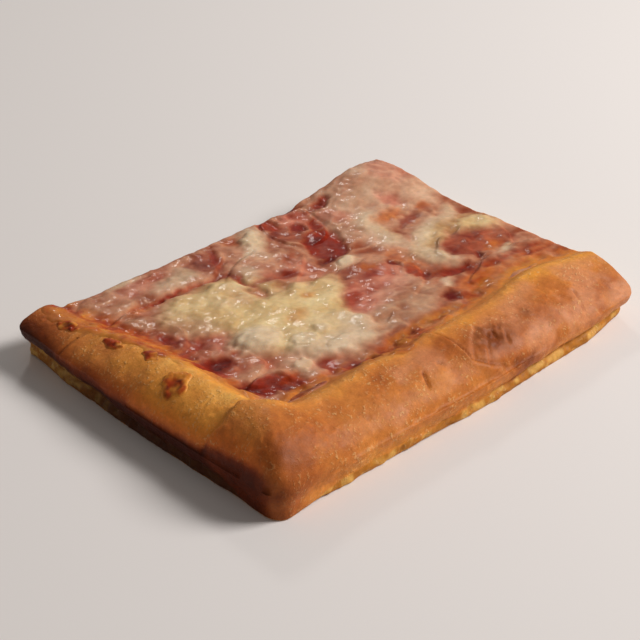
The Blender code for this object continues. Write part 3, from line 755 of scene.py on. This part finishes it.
def make_piece(name, points, faces, slot, nodes, colors):
    """One piece from points in millimetres, with a colour at each point for its slot's look."""
    mesh = bpy.data.meshes.new(name)
    moved = (points - np.array([*MIDDLE, 0.0])) * MM
    mesh.vertices.add(len(moved))
    mesh.vertices.foreach_set("co", moved.astype(np.float32).ravel())
    sizes = np.array([len(face) for face in faces])
    starts = np.concatenate([[0], np.cumsum(sizes)[:-1]])
    corners = np.concatenate(faces)
    mesh.loops.add(len(corners))
    mesh.loops.foreach_set("vertex_index", corners.astype(np.int32))
    mesh.polygons.add(len(sizes))
    mesh.polygons.foreach_set("loop_start", starts.astype(np.int32))
    mesh.update(calc_edges=True)
    mesh.validate()
    mesh.shade_smooth()
    opaque = np.column_stack([colors, np.ones(len(colors))])
    layer = mesh.attributes.new("tint", "FLOAT_COLOR", "POINT")
    layer.data.foreach_set("color", opaque.astype(np.float32).ravel())
    mesh.materials.append(LOOKS[slot])
    piece = bpy.data.objects.new(name, mesh)
    bpy.context.scene.collection.objects.link(piece)
    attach(piece, "root")
    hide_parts(*nodes)
    return piece


class Shader:
    """Builds a Principled material from a few kinds of node."""

    def __init__(self, name):
        self.material = bpy.data.materials.new(name)
        self.material.use_nodes = True
        self.tree = self.material.node_tree
        self.shader = self.tree.nodes["Principled BSDF"]
        self.place = self.node("ShaderNodeTexCoord").outputs["Object"]

    def node(self, kind, **settings):
        """A new node with its settings."""
        result = self.tree.nodes.new(kind)
        for key, value in settings.items():
            setattr(result, key, value)
        return result

    def link(self, source, target):
        self.tree.links.new(source, target)

    def set(self, **values):
        """Values on the shader's own sockets."""
        for key, value in values.items():
            self.shader.inputs[key.replace("_", " ")].default_value = value

    def noise(self, size, detail=3.0, roughness=0.55):
        """Noise whose lumps are about size millimetres across."""
        result = self.node("ShaderNodeTexNoise")
        result.inputs["Scale"].default_value = 1000.0 / size
        result.inputs["Detail"].default_value = detail
        result.inputs["Roughness"].default_value = roughness
        self.link(self.place, result.inputs["Vector"])
        return result.outputs["Fac"]

    def cells(self, size):
        """Distance to the nearest of many scattered points, about size millimetres apart."""
        result = self.node("ShaderNodeTexVoronoi")
        result.inputs["Scale"].default_value = 1000.0 / size
        self.link(self.place, result.inputs["Vector"])
        return result.outputs["Distance"]

    def attribute(self, name, output="Fac"):
        """A value or colour that the mesh holds at each point."""
        return self.node("ShaderNodeAttribute", attribute_name=name).outputs[output]

    def tinted(self, tone):
        """The mesh's own colour, lighter or darker by tone."""
        scale = self.node("ShaderNodeVectorMath", operation="SCALE")
        self.link(self.attribute("tint", "Color"), scale.inputs[0])
        self.link(tone, scale.inputs["Scale"])
        return scale.outputs[0]

    def span(self, source, low, high, to_low, to_high):
        """A value that runs from to_low to to_high while the source runs from low to high."""
        result = self.node("ShaderNodeMapRange")
        for key, value in (("From Min", low), ("From Max", high), ("To Min", to_low), ("To Max", to_high)):
            result.inputs[key].default_value = value
        self.link(source, result.inputs["Value"])
        return result.outputs["Result"]

    def math(self, operation, first, second):
        """A sum or product of two values, each a number or another node's."""
        result = self.node("ShaderNodeMath", operation=operation)
        for index, value in enumerate((first, second)):
            if isinstance(value, (int, float)):
                result.inputs[index].default_value = value
            else:
                self.link(value, result.inputs[index])
        return result.outputs[0]

    def blend(self, first, second, share):
        """The first colour, and the fixed second one over it by a share."""
        result = self.node("ShaderNodeMix", data_type="RGBA")
        self.link(share, result.inputs[0])
        self.link(first, result.inputs[6])
        result.inputs[7].default_value = (*second, 1.0)
        return result.outputs[2]

    def bump(self, height, distance, strength, below=None):
        """Fine relief up to distance millimetres high, over other relief."""
        result = self.node("ShaderNodeBump")
        result.inputs["Distance"].default_value = distance * MM
        result.inputs["Strength"].default_value = strength
        self.link(height, result.inputs["Height"])
        if below is not None:
            self.link(below, result.inputs["Normal"])
        return result.outputs["Normal"]


def crust_material():
    """Matte baked skin: mottled, finely grained, with pale and dark specks; rougher on the crumb."""
    s = Shader("baked_crust")
    crumb = s.attribute("crumb")
    mottle = s.span(s.noise(2.8, 4.0, 0.65), 0.3, 0.7, 0.87, 1.12)
    grain = s.span(s.noise(0.8, 3.0, 0.7), 0.3, 0.7, 0.91, 1.09)
    grouped = s.span(s.noise(9.0, 2.0), 0.42, 0.6, 0.0, 1.0)
    pale = s.math("MULTIPLY", s.span(s.noise(1.1, 2.0, 0.5), 0.56, 0.68, 0.0, 1.0), grouped)
    dark = s.span(s.cells(2.6), 0.08, 0.2, 0.86, 1.0)
    tone = s.math("MULTIPLY", s.math("MULTIPLY", mottle, grain), dark)
    brightness = s.node("ShaderNodeRGBToBW")
    s.link(s.attribute("tint", "Color"), brightness.inputs["Color"])
    shown = s.math("MULTIPLY", pale, s.span(brightness.outputs["Val"], 0.06, 0.25, 0.0, 0.36))
    s.link(s.blend(s.tinted(tone), SPECK, shown), s.shader.inputs["Base Color"])
    on_skin = s.span(s.noise(5.0, 3.0), 0.3, 0.7, 0.42, 0.58)
    s.link(s.math("ADD", on_skin, s.math("MULTIPLY", crumb, 0.35)), s.shader.inputs["Roughness"])
    rough = s.bump(s.noise(0.6, 4.0, 0.7), 0.10, 0.8)
    raised = s.bump(pale, 0.12, 0.8, rough)
    s.link(s.bump(s.noise(2.2, 3.0, 0.6), 0.30, 0.6, raised), s.shader.inputs["Normal"])
    s.set(Subsurface_Weight=0.05, Subsurface_Scale=0.0012, Subsurface_Radius=(1.0, 0.45, 0.2))
    s.set(Specular_IOR_Level=0.17)
    return s.material


def moist_material(name, rough, coat, subsurface, grain, bump):
    """Cheese, ham or sauce: tinted per point, finely mottled, moist and a little translucent."""
    s = Shader(name)
    tone = s.span(s.noise(grain, 4.0, 0.6), 0.3, 0.7, 0.90, 1.10)
    s.link(s.tinted(tone), s.shader.inputs["Base Color"])
    s.link(s.span(s.noise(3.5, 3.0), 0.3, 0.7, rough - 0.1, rough + 0.14), s.shader.inputs["Roughness"])
    fine = s.bump(s.noise(0.9, 3.0, 0.6), 0.06 * bump, 0.6)
    s.link(s.bump(s.noise(2.6, 3.0, 0.55), 0.25 * bump, 0.7, fine), s.shader.inputs["Normal"])
    s.set(Subsurface_Weight=subsurface, Subsurface_Scale=0.003, Subsurface_Radius=(1.0, 0.6, 0.35))
    s.set(Coat_Weight=coat, Coat_Roughness=0.09, Specular_IOR_Level=0.10)
    return s.material


# Colours of the crust, from pale to burnt, the darkest also used as painted shade, and the level of bake and
# painted shade at which each stands.
CRUST_DARK = display(112, 48, 8)
CRUST_BURNT_AND_SHADE = display(66, 22, 0)
BAKE_COLORS = np.array([
    display(246, 186, 84),
    display(230, 154, 60),
    display(208, 128, 56),
    display(174, 94, 38),
    CRUST_DARK,
    CRUST_BURNT_AND_SHADE,
])
BAKE_LEVELS = (-0.1, 0.14, 0.38, 0.62, 0.88, 1.2)
# Other colours of the crust and the bread, the painted warm light on the left side's low wall, and the tint
# of that whole side.
CRUST_ROSE = display(208, 138, 96)
LEFT_PAINTED_WARM_LIGHT = np.array([0.22, -0.04, -0.35])
LEFT_TINT = np.array([0.0, -0.04, 0.10])
SPECK = display(244, 204, 140)
FOOT = display(172, 108, 30)
FOOT_PALE = display(216, 166, 84)
CRUMB = display(232, 212, 172)
UNDERSIDE = display(186, 124, 66)
STAIN = display(206, 112, 46)
CRISP_GOLD = display(214, 132, 50)
CRISP_DARK = display(176, 88, 34)
CRISP_RED = display(168, 60, 22)
CRISP_BURNT = display(104, 30, 12)
# Two tints between which each kind of topping varies.
KIND_COLORS = {
    "film": (display(212, 150, 116), display(152, 74, 44)),
    "cream": (display(240, 212, 158), display(214, 174, 114)),
    "white": (display(234, 210, 178), display(214, 182, 142)),
    "grey": (display(206, 158, 124), display(160, 98, 68)),
    "ham": (display(228, 142, 116), display(170, 68, 46)),
    "blush": (display(234, 192, 160), display(202, 142, 110)),
    "mauve": (display(190, 100, 68), display(124, 38, 26)),
    "oil": (display(212, 110, 26), display(160, 54, 10)),
    "toast": (display(216, 140, 52), display(178, 90, 28)),
    "sauce": (display(176, 48, 12), display(108, 18, 6)),
    "deep": (display(140, 30, 10), display(88, 12, 4)),
}


# Moist looks: roughness, coat, share of light from below, size of the mottling in millimetres, relief.
MOIST = {
    "tomato_sauce": (0.38, 0.12, 0.08, 1.2, 0.70),
    "ham": (0.43, 0.11, 0.15, 1.6, 0.32),
    "mozzarella": (0.45, 0.11, 0.25, 2.0, 0.22),
    "baked_crisp": (0.42, 0.10, 0.10, 1.0, 1.00),
}
LOOKS = {slot: moist_material(slot, *settings) for slot, settings in MOIST.items()}
LOOKS["baked_crust"] = crust_material()


def beyond_corner(x, y):
    """0 on the long side of the front corner's diagonal, 1 on its left side."""
    return ramp(2, 12, (y - SIDE_Y) - (x - SIDE_X))


def left_side(x, y):
    """1 on the left crust side, 0 on the long one and further in."""
    return beyond_corner(x, y) * ramp(22, 12, x - SIDE_X)


def bake_and_shade_level(x, y, z):
    """How far the crust is baked, with painted light and shade: palest along the toppings, paler under the
    left crest where light falls, darkest low on the left side, where shade falls.
    """
    on_left = left_side(x, y)
    on_lobe = ramp(-2.5, 4.0, fold_side(x, y)) * ramp(-50, -62, x)
    below_crest = crest_height(x, y) - z
    bake_and_shade = 0.50 + 0.11 * noise(x, y, 15.0, 51, z) + 0.08 * noise(x, y, 5.0, 52, z)
    bake_and_shade = bake_and_shade + 0.05 * noise(x, y, 1.8, 54, z) + 0.04 * on_lobe - 0.03 * ramp(10, 40, x)
    for spot_x, spot_y, reach_x, reach_y, more in BROWNER:
        bake_and_shade = bake_and_shade + more * bell(x, spot_x, reach_x) * bell(y, spot_y, reach_y)
    bake_and_shade = bake_and_shade + 0.10 * bell(x, -40, 20) * ramp(4, 1, below_crest)
    bake_and_shade = bake_and_shade - 0.30 * bell(inside_border(x, y), -3, 5.5) * (1 - 0.5 * on_left)
    bake_and_shade = bake_and_shade - 0.14 * (1 - on_left) * ramp(9, 5, z)
    # Painted light and shade on the left side: paler just under the crest, where light falls, darker down the
    # wall and low on the lobe, where shade falls, and darker towards the left end.
    wall = 0.42 * ramp(5.0, 13.0, below_crest) - 0.38 + 0.30 * ramp(30, 56, y)
    wall = wall + (0.18 + 0.50 * ramp(1.5, 8.0, below_crest)) * ramp(-14, 22, y)
    bake_and_shade = bake_and_shade + on_left * (wall * (1 - 0.8 * on_lobe) - 0.15 * on_lobe)
    bake_and_shade = bake_and_shade + on_left * 0.75 * ramp(9.5, 13.5, below_crest) * (1 - 0.2 * on_lobe)
    # Painted shade low on the long side near x 25, under a fold of the crust.
    bake_and_shade = bake_and_shade + 0.30 * bell(x, 25, 8) * ramp(-62, -65, y) * ramp(13, 9, z)
    # Low at the front corner the crust is darker: partly browner bake, partly painted shade.
    return bake_and_shade + 0.25 * bell(x, -84, 11) * bell(y, -66, 11) * ramp(15, 5, z)


def skin_color(x, y, z):
    """Colour of the crust's skin by how far it is baked, with its painted light and shade, rosy in places,
    and with painted warm light low on the left side.
    """
    on_left = left_side(x, y)
    bake_and_shade = bake_and_shade_level(x, y, z)
    color = np.stack([np.interp(bake_and_shade, BAKE_LEVELS, tones) for tones in BAKE_COLORS.T], -1)
    rosy = noise(x, y, 11.0, 58, z) + 0.4 * noise(x, y, 3.0, 59, z) + 0.6 * ramp(10, 50, x) - 0.2
    rosy = 0.6 * ramp(-0.1, 0.6, rosy) * ramp(0.9, 0.5, bake_and_shade) * ramp(-58, -40, x) * (1 - on_left)
    rosy = rosy * ramp(6, 10, z) * ramp(-2, -7, inside_border(x, y))
    # Painted warm light, redder and less blue, on the left side's wall below the crest.
    painted_warm_light = (on_left * ramp(2, 9, crest_height(x, y) - z))[..., None] * LEFT_PAINTED_WARM_LIGHT
    return mix(color, CRUST_ROSE, rosy) * (1 + painted_warm_light + on_left[..., None] * LEFT_TINT)


def foot_height(x, y):
    """Height up to which the crust's side is pale foot: none at the front corner."""
    left = 4.6 + 2.6 * ramp(10, 45, y)
    front = 3.4 + 0.8 * ramp(20, 60, x)
    on_left = beyond_corner(x, y)
    ragged = 0.9 * noise(x, y, 5.0, 61) + 0.5 * noise(x, y, 2.2, 62)
    return (front * (1 - on_left) + left * on_left + ragged) * ramp(10, 30, from_corner(x, y))


def bread_rings():
    """Rings of points up the bread's side, then inwards over its top, and where they are crust skin."""
    points, inward = outline()
    x, y = points.T
    top = dough_height(x, y)
    on_crust = crust_share(x, y)
    lift = EDGE_LIFT * on_crust * np.maximum(noise(x, y, 17.0, 15), 0)
    rings = [np.column_stack([points + foot_inset(x, y, 0.0) + CUT_BEVEL * inward, 0 * top])]
    for share in np.linspace(0.02, 1.0, WALL_RINGS):
        rings.append(np.column_stack([points + foot_inset(x, y, share), share * top + lift * (1 - share)]))
    skin = [on_crust] * len(rings)
    spine = np.stack([x * SPINE_HALF / -FRONT[0], np.zeros(len(x))], 1)
    eased = np.linspace(0, 1, int(FINE_DEPTH / TOP_STEP)) ** 1.25 * FINE_DEPTH
    for depth in (*eased[1:], *DEEP_RINGS):
        place = points + (spine - points) * depth / SPINE_DEPTH
        rings.append(np.column_stack([place, dough_height(*place.T)]))
        skin.append(on_crust if depth < 0.5 else np.ones(len(x)))
    return rings, skin


def bread_piece():
    """The bread: crust skin, foot, crumb on its cut sides, and underside."""
    rings, skin = bread_rings()
    count = len(rings[0])
    base, skin = np.concatenate(rings), np.concatenate(skin)
    here = np.arange((len(rings) - 1) * count)
    beside = here // count * count + (here + 1) % count
    quads = np.stack([here, beside, beside + count, here + count], 1)
    normals = vertex_normals(base, np.concatenate([quads[:, :3], quads[:, [0, 2, 3]]]))
    x, y, z = base.T
    border = inside_border(x, y)
    on_side = np.clip(1 - np.abs(normals[:, 2]) * 1.1, 0, 1)
    cut_face = (1 - skin) * on_side
    crust_face = skin * ramp(3, -1, border)
    foot = skin * ramp(0.5, -0.5, z - foot_height(x, y)) * ramp(0.0, 0.4, on_side)
    push = crust_face * (crust_bumps(x, y, z) + creases(x, y)[0] * ramp(8.5, 10.5, z))
    push = push + foot * (0.45 * noise(x, y, 3.4, 26, z) + 0.30 * noise(x, y, 1.5, 27, z))
    pores = np.maximum(noise(x, y, 2.6, 28, z) - 0.1, 0) + 0.6 * np.maximum(noise(x, y, 1.3, 29, z) - 0.15, 0)
    push = push - cut_face * (1.6 * pores - 0.1) * ramp(0.6, 2.0, z)
    final = base + normals * (push * ramp(0.0, 0.25, z))[:, None]
    final[:count, 2] = 0.0
    final[count:, 2] = np.maximum(final[count:, 2], 0.02)
    colors = bread_colors(base, normals, skin, cut_face, foot)
    first, last = np.arange(count), np.arange(len(base) - count, len(base))
    piece = make_piece("bread", final, [*quads, first[::-1], last], "baked_crust", ["dough"], colors)
    layer = piece.data.attributes.new("crumb", "FLOAT", "POINT")
    layer.data.foreach_set("value", np.clip(cut_face * 1.4, 0, 1).astype(np.float32))


def bread_colors(base, normals, skin, cut_face, foot):
    """Colours of the crust's bake and its painted shade, its foot, its crumb and its stains, point by point.
    """
    x, y, z = base.T
    on_left = left_side(x, y)
    color = skin_color(x, y, z) * (1 + 0.20 * blisters(x, y, z) * skin)[:, None]
    # Painted shade in the creases and pocks.
    color = mix(color, CRUST_DARK, creases(x, y)[1] * ramp(8.5, 10.5, z) * skin)
    side = mix(FOOT, FOOT_PALE, ramp(-0.2, 0.5, noise(x, y, 2.6, 53, z)))
    # Painted shade: the foot on the left side, which stands in shade, is made nearly as dark as burnt crust.
    side = mix(side, CRUST_BURNT_AND_SHADE, on_left * ramp(60, 0, y) * 0.95)
    color = mix(color, side, foot * 0.9)
    # Painted shadow: a dark line along the top of the foot on the long side's right half, under the
    # overhanging skin.
    painted_lip_shadow = bell(z - foot_height(x, y), 0.5, 0.45) * ramp(-10, 30, x) * (1 - on_left)
    color = mix(color, CRUST_DARK, painted_lip_shadow * skin * 0.55)
    crumb = np.clip(cut_face * 1.3, 0, 1)
    color = mix(color, CRUMB, crumb)
    color = mix(color, UNDERSIDE, crumb * ramp(1.6, 0.6, z))
    color = mix(color, UNDERSIDE, ramp(-0.5, -0.95, normals[:, 2]))
    u, v = warped(x, y, 1.5, 3.0, 55)
    greasy = 0.3 + 0.6 * ramp(-14, 4, y) + 0.6 * bell(x, 0, 24, power=4)
    stain = ramp(-4.5, 0.5, inside_border(u, v)) * (0.55 + 0.45 * noise(x, y, 4.0, 57)) * (1 - cut_face)
    return mix(color, STAIN, np.clip(stain * greasy, 0, 0.8))


def flat_sheet(mask, spacing=GRID, box=TOPPED):
    """Triangles over the part of the plane where mask is positive, on a grid of one spacing."""
    across, along = (
        np.arange(np.floor(low / spacing), np.ceil(high / spacing) + 1) * spacing
        for low, high in (box[:2], box[2:])
    )
    grid_x, grid_y = np.meshgrid(across, along, indexing="ij")
    values = mask(grid_x, grid_y).ravel()
    index = np.arange(grid_x.size).reshape(grid_x.shape)
    a, b, c, d = index[:-1, :-1], index[1:, :-1], index[1:, 1:], index[:-1, 1:]
    odd = (np.add.outer(np.arange(a.shape[0]), np.arange(a.shape[1])) % 2).astype(bool)
    first = np.where(odd[..., None], np.stack([a, b, c], -1), np.stack([a, b, d], -1))
    second = np.where(odd[..., None], np.stack([a, c, d], -1), np.stack([b, c, d], -1))
    every = np.concatenate([first.reshape(-1, 3), second.reshape(-1, 3)])
    inside = (values[every] > 0).sum(1)
    triangles = every[inside == 3].tolist()
    places = np.stack([grid_x.ravel(), grid_y.ravel()], 1)
    extra, number = [], {}
    for triangle in every[(inside > 0) & (inside < 3)].tolist():
        ring = []
        for k in range(3):
            here, there = triangle[k], triangle[(k + 1) % 3]
            if values[here] > 0:
                ring.append(here)
            if (values[here] > 0) != (values[there] > 0):
                low, high = min(here, there), max(here, there)
                if (low, high) not in number:
                    share = np.clip(values[low] / (values[low] - values[high]), 0.08, 0.92)
                    number[low, high] = len(places) + len(extra)
                    extra.append(places[low] * (1 - share) + places[high] * share)
                ring.append(number[low, high])
        for k in range(1, len(ring) - 1):
            triangles.append((ring[0], ring[k], ring[k + 1]))
    places = np.concatenate([places, np.array(extra)])
    return large_parts(places, np.array(triangles))


def large_parts(places, triangles, smallest=60):
    """The sheet without its scraps, and without unused points."""
    group = np.arange(len(places))
    while True:
        lowest = group[triangles].min(1)
        updated = group.copy()
        for k in range(3):
            np.minimum.at(updated, triangles[:, k], lowest)
        updated = updated[updated]
        if (updated == group).all():
            break
        group = updated
    label = group[triangles[:, 0]]
    sizes = np.bincount(label, minlength=len(places))
    triangles = triangles[sizes[label] >= smallest]
    used = np.unique(triangles)
    renumber = np.zeros(len(places), int)
    renumber[used] = np.arange(len(used))
    return places[used], renumber[triangles]


def rim_edges(triangles):
    """Directed edges that only one triangle has."""
    edges = np.concatenate([triangles[:, [0, 1]], triangles[:, [1, 2]], triangles[:, [2, 0]]])
    size = triangles.max() + 1
    forward, backward = edges[:, 0] * size + edges[:, 1], edges[:, 1] * size + edges[:, 0]
    return edges[~np.isin(forward, backward)]


def rim_distance(places, triangles, reach):
    """Distance of each point from the sheet's own edge, up to reach; edges at the cuts don't count."""
    rim = np.unique(rim_edges(triangles))
    free = rim[inside_cuts(*places[rim].T) > CUT_SETBACK + 0.6]
    tree = KDTree(len(free))
    for index, (px, py) in enumerate(places[free]):
        tree.insert((px, py, 0.0), index)
    tree.balance()
    distance = np.full(len(places), reach)
    if len(free):
        for index, (px, py) in enumerate(places):
            distance[index] = min(tree.find((px, py, 0.0))[2], reach)
    return distance


def sheet_piece(sheet, heights, colors, name, slot, nodes):
    """A closed piece between two heights over a flat sheet, with the colours of its lower and upper side."""
    places, triangles = sheet
    count = len(places)
    start, end = rim_edges(triangles).T
    sides = [np.stack([start, end, end + count], 1), np.stack([start, end + count, start + count], 1)]
    faces = np.concatenate([triangles + count, triangles[:, ::-1], *sides])
    points = np.concatenate([np.column_stack([places, height]) for height in heights])
    make_piece(name, points, faces, slot, nodes, np.concatenate(colors))


def sauce_mask(x, y):
    """Positive where the sauce is: out to both cut sides, and a little past the border."""
    spread = np.minimum(1.2 + 0.8 * noise(x, y, 3.0, 37), overflow(x, y) - bare_strip(x, y) - 1.5)
    return np.minimum(inside_border(x, y) + spread, inside_cuts(x, y) - CUT_SETBACK + 0.15)


def sauce_piece():
    """The tomato sauce, a layer that runs out to both cut sides."""
    places, triangles = flat_sheet(sauce_mask)
    x, y = places.T
    edge = rim_distance(places, triangles, 1.2) / 1.2
    level = dough_height(x, y)
    top = level + (sauce_height(x, y) - level) * np.sqrt(np.clip(edge, 0.02, 1))
    colors = (kind_colors(x, y)["sauce"], lay_patches(x, y)[0])
    sheet_piece((places, triangles), (level - 0.15, top), colors, "sauce", "tomato_sauce", ["tomato_sauce"])


def ham_piece(number):
    """One ham slice, with a rounded edge."""
    middle_x, middle_y, *halves = HAM_SLICES[number][:4]
    reach = max(halves) + 5
    box = (max(middle_x - reach, TOPPED[0]), min(middle_x + reach, TOPPED[1]),
           max(middle_y - reach, TOPPED[2]), min(middle_y + reach, TOPPED[3]))
    sheet = flat_sheet(lambda x, y: ham_mask(number, x, y), box=box)
    x, y = sheet[0].T
    level = sauce_height(x, y)
    top = level + np.maximum(ham_rise(number, x, y, ham_mask(number, x, y)), 0.05)
    colors = (kind_colors(x, y)["ham"], lay_patches(x, y)[0])
    sheet_piece(sheet, (level - 0.25, top), colors, f"ham_{number + 1}", "ham", [f"ham_slice_{number + 1}"])


def cheese_mask(x, y):
    """Positive where the cheese is, its baked edge included."""
    return np.minimum(inside_border(x, y) + overflow(x, y), inside_cuts(x, y) - CUT_SETBACK)


def cheese_piece():
    """The melted cheese: thick pools, and thin films through which the ham shows."""
    sheet = flat_sheet(cheese_mask)
    x, y = sheet[0].T
    color, film = lay_patches(x, y)
    border, bare = inside_border(x, y), bare_strip(x, y)
    reach = border + overflow(x, y)
    edge = ramp(0, 3.2, reach - 0.7 * bare)
    smooth = topping_height(x, y)
    over = np.where(border > 0, ground(x, y), skin_height(x, y) + 0.3)
    top = smooth + film * edge + np.maximum(over - smooth, -0.10) * np.exp(-film)
    lumps = 0.22 * noise(x, y, 3.0, 91) + 0.10 * noise(x, y, 1.4, 92)
    outside = ramp(1.5, -1.0, border)
    top = top * (1 - outside) + (skin_height(x, y) - 0.25 + (0.55 + lumps) * edge) * outside
    skin = mix(skin_color(x, y, dough_height(x, y)), STAIN, 0.35)
    color = mix(skin, color, ramp(0.2, 6.0, reach - bare + 1.4 * noise(x, y, 3.4, 93)))
    heights = (np.minimum(over, top) - 0.35, top)
    nodes = ["melted_cheese_1", "melted_cheese_2"]
    sheet_piece(sheet, heights, (kind_colors(x, y)["cream"], color), "cheese", "mozzarella", nodes)


def crisp_mask(number, x, y):
    """Positive on one crisp."""
    u, v = warped(x, y, 1.2, 3.0, 301 + number)
    return blob(u, v, CRISPS[number]) * 3 + 0.4 * noise(x, y, 1.5, 303)


def crisp_piece(number):
    """A blistered crisp of cheese and sauce, baked into the crust."""
    middle_x, middle_y, *_, height, redness = CRISPS[number]
    box = (middle_x - 9, middle_x + 9, middle_y - 9, middle_y + 9)
    places, triangles = flat_sheet(lambda x, y: crisp_mask(number, x, y), CRISP_GRID, box)
    x, y = places.T
    edge = rim_distance(places, triangles, 2.2) / 2.2
    level = skin_height(x, y)
    lumps = 0.7 + 0.45 * noise(x, y, 2.4, 305) + 0.2 * noise(x, y, 1.1, 306)
    top = level - 0.3 + (0.3 + 0.7 * height * lumps) * np.sqrt(1 - (1 - edge) ** 2)
    tone = np.clip(0.5 + 0.7 * noise(x, y, 1.9, 307) + 0.3 * noise(x, y, 0.9, 308), 0, 1)
    color = mix(CRISP_DARK, CRISP_GOLD, ramp(0.0, 0.55, tone))
    red = ramp(0.2, 0.9, redness + 0.7 * noise(x, y, 2.4, 309) + 0.5 * (edge - 0.5))
    color = mix(color, mix(CRISP_RED, CRISP_BURNT, ramp(0.5, 0.9, tone)), red)
    skin = skin_color(x, y, dough_height(x, y))
    color = mix(skin, color, ramp(0.0, 0.4, edge + 0.1 * noise(x, y, 1.3, 310)))
    name, nodes = f"crisp_{number + 1}", [f"baked_crisp_{number + 1}"]
    sheet_piece((places, triangles), (level - 0.5, top), (color, color), name, "baked_crisp", nodes)


def make_stage():
    """A plain pale floor."""
    material = bpy.data.materials.new("floor")
    material.use_nodes = True
    shader = material.node_tree.nodes["Principled BSDF"]
    shader.inputs["Base Color"].default_value = (*display(*FLOOR_COLOR), 1.0)
    shader.inputs["Roughness"].default_value = FLOOR_ROUGHNESS
    mesh = bpy.data.meshes.new("floor")
    corners = [(a * FLOOR_HALF, b * FLOOR_HALF, 0) for a, b in ((-1, -1), (1, -1), (1, 1), (-1, 1))]
    mesh.from_pydata(corners, [], [range(4)])
    mesh.materials.append(material)
    floor = bpy.data.objects.new("floor", mesh)
    bpy.context.scene.collection.objects.link(floor)


def aimed(place, direction):
    """A place and a turn that looks in one direction, with up at the top."""
    return Matrix.Translation(place) @ direction.to_track_quat("-Z", "Y").to_matrix().to_4x4()


def make_camera():
    """The camera that the photograph's perspective gives."""
    data = bpy.data.cameras.new("camera")
    data.lens = CAMERA_LENS
    data.sensor_width = SENSOR
    data.clip_start = 0.01
    camera = bpy.data.objects.new("camera", data)
    bpy.context.scene.collection.objects.link(camera)
    place = (Vector(CAMERA_PLACE) - Vector((*MIDDLE, 0))) * MM
    roll = Matrix.Rotation(np.radians(CAMERA_ROLL), 4, "Z")
    camera.matrix_world = aimed(place, Vector(CAMERA_AHEAD)) @ roll
    bpy.context.scene.camera = camera


def make_light(name, place, size, power, color):
    """A square area light aimed at the slice."""
    data = bpy.data.lights.new(name, "AREA")
    data.shape = "SQUARE"
    data.size = size
    data.energy = power
    data.color = color
    light = bpy.data.objects.new(name, data)
    bpy.context.scene.collection.objects.link(light)
    light.matrix_world = aimed(Vector(place), -Vector(place))


def make_sky():
    """Soft light from all around."""
    world = bpy.data.worlds.new("world")
    world.use_nodes = True
    background = world.node_tree.nodes["Background"]
    background.inputs["Color"].default_value = SKY_COLOR
    background.inputs["Strength"].default_value = SKY_STRENGTH
    bpy.context.scene.world = world
    bpy.context.scene.view_settings.view_transform = "Standard"


make_camera()
for light_name, settings in LIGHTS.items():
    make_light(light_name, *settings)
make_sky()
make_stage()
bread_piece()
sauce_piece()
for slice_number in range(len(HAM_SLICES)):
    ham_piece(slice_number)
cheese_piece()
for crisp_number in range(len(CRISPS)):
    crisp_piece(crisp_number)
